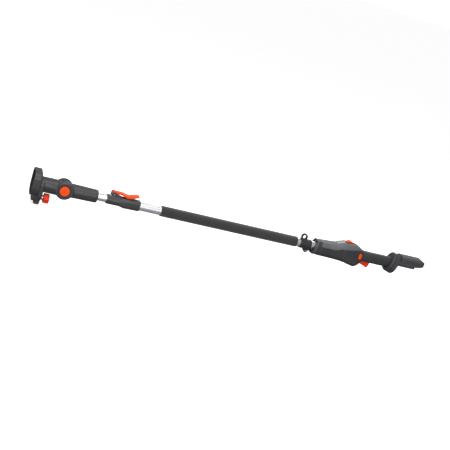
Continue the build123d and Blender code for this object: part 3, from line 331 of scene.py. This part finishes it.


# the hood gets a darker copy of the cover grey: painted shade that darkens its top
HOOD_SHADED_GREY = moulded("hood_shaded_grey", (0.05, 0.051, 0.054), 0.42, 0.55, edge=2.6, edge_radius=0.0024)
SMOOTH_ANGLE = radians(34)
MERGE_DISTANCE = 0.00002
for name, node in NODES.items():
    dress(node, SLOT_OF[name])
    weld = node.modifiers.new("weld", "WELD")
    weld.merge_threshold = MERGE_DISTANCE
    for polygon in node.data.polygons:
        polygon.use_smooth = True
    split = node.modifiers.new("crease", "EDGE_SPLIT")
    split.split_angle = SMOOTH_ANGLE
# the hood wears the darker copy of the cover grey: painted shade
NODES["dock_hood"].data.materials[0] = HOOD_SHADED_GREY


# --- fine trim --------------------------------------------------------------------------------
def tree_of(*names):
    """One search tree over the surfaces of some CAD nodes."""
    verts, faces = [], []
    for name in names:
        mesh = NODES[name].data
        base = len(verts)
        verts += [v.co.copy() for v in mesh.vertices]
        faces += [[base + i for i in p.vertices] for p in mesh.polygons]
    return BVHTree.FromPolygons(verts, faces)


def slot_loop(width, height, count=48):
    """Points round an upright oval with straight sides, centred on zero."""
    radius = width / 2
    straight = height / 2 - radius
    points = []
    for i in range(count):
        a = 2 * pi * i / count
        lift = straight if sin(a) >= 0 else -straight
        points.append((radius * cos(a), radius * sin(a) + lift))
    return points


def place_piece(name, work, slot, body):
    """Mesh piece from a bmesh, with a slot's material, riding on a body."""
    mesh = bpy.data.meshes.new(name)
    work.to_mesh(mesh)
    work.free()
    mesh.materials.append(MATERIALS[slot])
    obj = bpy.data.objects.new(name, mesh)
    scene.collection.objects.link(obj)
    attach(obj, body)
    return obj


def bead(name, points, radius, slot, body):
    """Closed round bead through the points."""
    curve = bpy.data.curves.new(name, "CURVE")
    curve.dimensions = "3D"
    curve.bevel_depth = radius
    curve.bevel_resolution = 3
    curve.use_fill_caps = True
    spline = curve.splines.new("POLY")
    spline.points.add(len(points) - 1)
    for target, point in zip(spline.points, points):
        target.co = (*point, 1.0)
    spline.use_cyclic_u = True
    obj = bpy.data.objects.new(name, curve)
    scene.collection.objects.link(obj)
    curve.materials.append(MATERIALS[slot])
    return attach(obj, body)


RIM_WIRE = 0.0011
RIM_MARGIN = 0.0046
OUTSIDE = 0.1
housing = tree_of("upper_cover", "lower_shell", "handle_left_shell", "handle_right_shell")
low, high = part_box("lock_off_button")
button_mid = (low + high) / 2
button_size = high - low
for side_name, sign in (("left", -1.0), ("right", 1.0)):
    outline = []
    for dx, dz in slot_loop(button_size.x + RIM_MARGIN, button_size.z + RIM_MARGIN):
        start = Vector((button_mid.x + dx, sign * OUTSIDE, button_mid.z + dz))
        hit = housing.ray_cast(start, Vector((0, -sign, 0)))[0]
        if hit is not None:
            outline.append(hit)
    bead("lock_off_rim_" + side_name, outline, RIM_WIRE, "black_plastic", "pole")


# rolled lip round the mouth of the housing, which slants back from foot to crown
LIP_POINTS = 72
LIP_WIRE = 0.0017
LIP_SETBACK = 0.0016
PROBE_FOOT = 0.002
PROBE_CROWN = 0.0035
PROBE_AHEAD = 0.05
PROBE_OUT = 0.08
REARWARDS = Vector((1, 0, 0))
low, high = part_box("mouth_collar")
middle = (low + high) / 2
collar = tree_of("mouth_collar")
tip = collar.ray_cast(Vector((low.x - PROBE_AHEAD, 0, low.z + PROBE_FOOT)), REARWARDS)[0]
crown = collar.ray_cast(Vector((low.x - PROBE_AHEAD, 0, high.z - PROBE_CROWN)), REARWARDS)[0]
foot_x = tip.x + LIP_SETBACK
crown_x = crown.x + LIP_SETBACK
outline = []
for i in range(LIP_POINTS):
    turn = 2 * pi * i / LIP_POINTS
    out = Vector((0, cos(turn), sin(turn)))
    share = (sin(turn) + 1) / 2
    start = Vector((foot_x + (crown_x - foot_x) * share, 0, middle.z)) + out * PROBE_OUT
    hit = collar.ray_cast(start, -out)[0]
    if hit is not None:
        outline.append(hit)
bead("mouth_lip", outline, LIP_WIRE, "cover_plastic", "pole")


# dust ring between the lip and the tube: its steps back from the lip, and their share of the way inwards
THROAT_STEPS = ((0.0, 0.0), (0.002, 0.55), (0.004, 1.0))
THROAT_INSET = 0.0022
THROAT_DEPTH = 0.0006
THROAT_THICKNESS = 0.0014
THROAT_CLEARANCE = 0.0002
tube_low, tube_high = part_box("outer_tube")
POLE_Z = (tube_low.z + tube_high.z) / 2
TUBE_R = (tube_high.z - tube_low.z) / 2


def throat_loop(work, rim, back, share):
    """One ring of vertices, from the lip (share 0) to the tube (share 1)."""
    loop = []
    for point in rim:
        radial = Vector((0, point.y, point.z - POLE_Z))
        outer = radial.length - THROAT_INSET
        reach = outer * (1 - share) + (TUBE_R + THROAT_CLEARANCE) * share
        out = radial.normalized()
        loop.append(work.verts.new((point.x + back, out.y * reach, POLE_Z + out.z * reach)))
    return loop


def throat(rim):
    """Closed ring, dished inwards, set back from the rim of the mouth."""
    work = bmesh.new()
    front = [throat_loop(work, rim, THROAT_DEPTH + step, share) for step, share in THROAT_STEPS]
    rear_depth = THROAT_DEPTH + THROAT_THICKNESS
    rear = [throat_loop(work, rim, rear_depth + step, share) for step, share in reversed(THROAT_STEPS)]
    loops = front + rear
    count = len(rim)
    for first, second in zip(loops, loops[1:] + loops[:1]):
        for i in range(count):
            j = (i + 1) % count
            work.faces.new((first[i], first[j], second[j], second[i]))
    bmesh.ops.recalc_face_normals(work, faces=work.faces)
    for face in work.faces:
        face.smooth = True
    place_piece("mouth_throat", work, "cover_plastic", "pole")


throat(outline)


def islands(name):
    """Vertices of each separate solid of a CAD node."""
    work = bmesh.new()
    work.from_mesh(NODES[name].data)
    bmesh.ops.remove_doubles(work, verts=work.verts, dist=MERGE_DISTANCE)
    left = set(work.verts)
    found = []
    while left:
        pending = [left.pop()]
        group = []
        while pending:
            vert = pending.pop()
            group.append(vert.co.copy())
            for edge in vert.link_edges:
                other = edge.other_vert(vert)
                if other in left:
                    left.remove(other)
                    pending.append(other)
        found.append(group)
    work.free()
    return found


SCREW_POINTS = 36
SHANK_SHARE = 0.5
LOBES = 6
LOBE_DEPTH = 0.2


def lobed_screws(name, axis, head_at_high):
    """Screws with a domed head and a six-lobed recess, in place of the plain ones of a CAD node."""
    others = [i for i in range(3) if i != axis]
    work = bmesh.new()
    for group in islands(name):
        low = Vector([min(v[i] for v in group) for i in range(3)])
        high = Vector([max(v[i] for v in group) for i in range(3)])
        centre = (low + high) / 2
        head_r = (high - low)[others[0]] / 2
        top, end = (high[axis], low[axis]) if head_at_high else (low[axis], high[axis])
        down = 1.0 if end > top else -1.0
        shank_r = head_r * SHANK_SHARE
        # distance from the top, radius, share of the lobes
        rings = [
            (0.0011, head_r * 0.36, 1.0),
            (0.0, head_r * 0.42, 1.0),
            (0.0, head_r * 0.72, 0.0),
            (0.0004, head_r * 0.94, 0.0),
            (0.0010, head_r, 0.0),
            (0.0022, head_r, 0.0),
            (0.0022, shank_r, 0.0),
            (abs(end - top) - 0.0008, shank_r, 0.0),
            (abs(end - top), shank_r * 0.55, 0.0),
        ]
        loops = []
        for depth, radius, lobes in rings:
            loop = []
            for i in range(SCREW_POINTS):
                angle = 2 * pi * i / SCREW_POINTS
                reach = radius * (1 + LOBE_DEPTH * lobes * cos(LOBES * angle))
                place = centre.copy()
                place[axis] = top + down * depth
                place[others[0]] += reach * cos(angle)
                place[others[1]] += reach * sin(angle)
                loop.append(work.verts.new(place))
            loops.append(loop)
        work.faces.new(loops[0])
        work.faces.new(loops[-1])
        for first, second in zip(loops, loops[1:]):
            for i in range(SCREW_POINTS):
                j = (i + 1) % SCREW_POINTS
                work.faces.new((first[i], first[j], second[j], second[i]))
    bmesh.ops.recalc_face_normals(work, faces=work.faces)
    obj = place_piece(name + "_lobed", work, "steel", NODES[name]["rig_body"])
    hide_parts(name)


lobed_screws("head_screws", 1, True)
lobed_screws("handle_screws", 1, True)
lobed_screws("housing_screws", 2, False)
lobed_screws("dock_screws", 2, False)


def spring(name, node, side=0):
    """Spring in place of a CAD node or of its half on one side."""
    work = bmesh.new()
    work.from_mesh(NODES[node].data)
    bmesh.ops.remove_doubles(work, verts=work.verts, dist=MERGE_DISTANCE)
    away = [v for v in work.verts if v.co.y * side < 0]
    bmesh.ops.delete(work, geom=away, context="VERTS")
    for face in work.faces:
        face.smooth = True
    obj = place_piece(name, work, "steel", NODES[node]["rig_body"])
    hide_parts(node)
    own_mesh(obj)


# each spring is copied from its CAD node; the lock-off pair is split into left and right halves
low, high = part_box("button_spring")
middle = (low + high) / 2
spring("tilt_return_spring", "button_spring")
low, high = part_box("trigger_spring")
middle = (low + high) / 2
spring("trigger_return_spring", "trigger_spring")
low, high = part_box("lock_off_springs")
middle = (low + high) / 2
for side_name, side in (("left", -1), ("right", 1)):
    name = "lock_off_spring_" + side_name
    spring(name, "lock_off_springs", side)


# --- floor, light and camera ------------------------------------------------------------------
def seen_only(nodes, links, seen, other_kind, color_input, color):
    """Keeps a bright stage for the eye, and a duller one for what it lights and mirrors."""
    output = next(n for n in nodes if n.type in ("OUTPUT_MATERIAL", "OUTPUT_WORLD"))
    path = nodes.new("ShaderNodeLightPath")
    mix = nodes.new("ShaderNodeMixShader")
    other = nodes.new(other_kind)
    other.inputs[color_input].default_value = color
    links.new(path.outputs["Is Camera Ray"], mix.inputs[0])
    links.new(other.outputs[0], mix.inputs[1])
    links.new(seen, mix.inputs[2])
    links.new(mix.outputs[0], output.inputs["Surface"])


FLOOR_HALF = 60.0
FLOOR_GAP = 0.0005
FLOOR_GLOW = 0.6
DULL_FLOOR = (0.3, 0.3, 0.31, 1)
DULL_SKY = (0.4, 0.4, 0.41, 1)
SKY_STRENGTH = 1.2


def floor():
    """Wide pale sheet under the object."""
    mesh = bpy.data.meshes.new("floor")
    work = bmesh.new()
    bmesh.ops.create_grid(work, x_segments=8, y_segments=8, size=FLOOR_HALF)
    work.to_mesh(mesh)
    work.free()
    obj = bpy.data.objects.new("floor", mesh)
    scene.collection.objects.link(obj)
    obj.location.z = CAD_BOX[0][2] - FLOOR_GAP
    s = Shader("floor_paper", 0.9, specular=0.1)
    s.colour(s.ramp(s.noise(3.0), (0.93, 0.93, 0.93, 1), (0.96, 0.96, 0.96, 1)))
    s.bsdf.inputs["Emission Color"].default_value = (1, 1, 1, 1)
    s.bsdf.inputs["Emission Strength"].default_value = FLOOR_GLOW
    seen_only(s.nodes, s.links, s.bsdf.outputs[0], "ShaderNodeBsdfDiffuse", "Color", DULL_FLOOR)
    mesh.materials.append(s.material)


def area_light(name, place, target, size, power):
    """Square soft box aimed at a point."""
    data = bpy.data.lights.new(name, "AREA")
    data.shape = "SQUARE"
    data.size = size
    data.energy = power
    obj = bpy.data.objects.new(name, data)
    obj.location = place
    obj.rotation_euler = (Vector(target) - Vector(place)).to_track_quat("-Z", "Y").to_euler()
    scene.collection.objects.link(obj)


floor()
world = bpy.data.worlds.new("studio")
world.use_nodes = True
sky = world.node_tree.nodes["Background"]
sky.inputs["Color"].default_value = (1, 1, 1, 1)
sky.inputs["Strength"].default_value = SKY_STRENGTH
seen_only(
    world.node_tree.nodes,
    world.node_tree.links,
    sky.outputs[0],
    "ShaderNodeBackground",
    "Color",
    DULL_SKY,
)
scene.world = world
LIT_POINT = (0, 0, 0.06)
area_light("key", (-0.7, -0.9, 2.4), LIT_POINT, 1.8, 36.0)
area_light("front", (-0.7, -2.9, 0.7), LIT_POINT, 1.6, 42.0)
area_light("rim", (0.8, 1.6, 1.5), LIT_POINT, 1.4, 16.0)

# pole point in the middle of the view, and the camera's angles and distance
AIM = Vector((-0.03875, 0.0, 0.067))
AZIMUTH = radians(-20.0)
ELEVATION = radians(16.2)
DISTANCE = 3.16
ROLL = radians(18.6)
FOCAL_PX = 933.0
FRAME_PX = 450.0
back = Vector((sin(AZIMUTH) * cos(ELEVATION), -cos(AZIMUTH) * cos(ELEVATION), sin(ELEVATION)))
right = Vector((cos(AZIMUTH), sin(AZIMUTH), 0))
up = back.cross(right)
data = bpy.data.cameras.new("camera")
data.sensor_width = 36.0
data.lens = FOCAL_PX / FRAME_PX * 36.0
data.shift_x = -5.0 / FRAME_PX
data.shift_y = 1.6 / FRAME_PX
camera = bpy.data.objects.new("camera", data)
turn = Matrix((right, up, back)).transposed() @ Matrix.Rotation(ROLL, 3, "Z")
camera.matrix_world = Matrix.Translation(AIM + back * DISTANCE) @ turn.to_4x4()
scene.collection.objects.link(camera)
scene.camera = camera
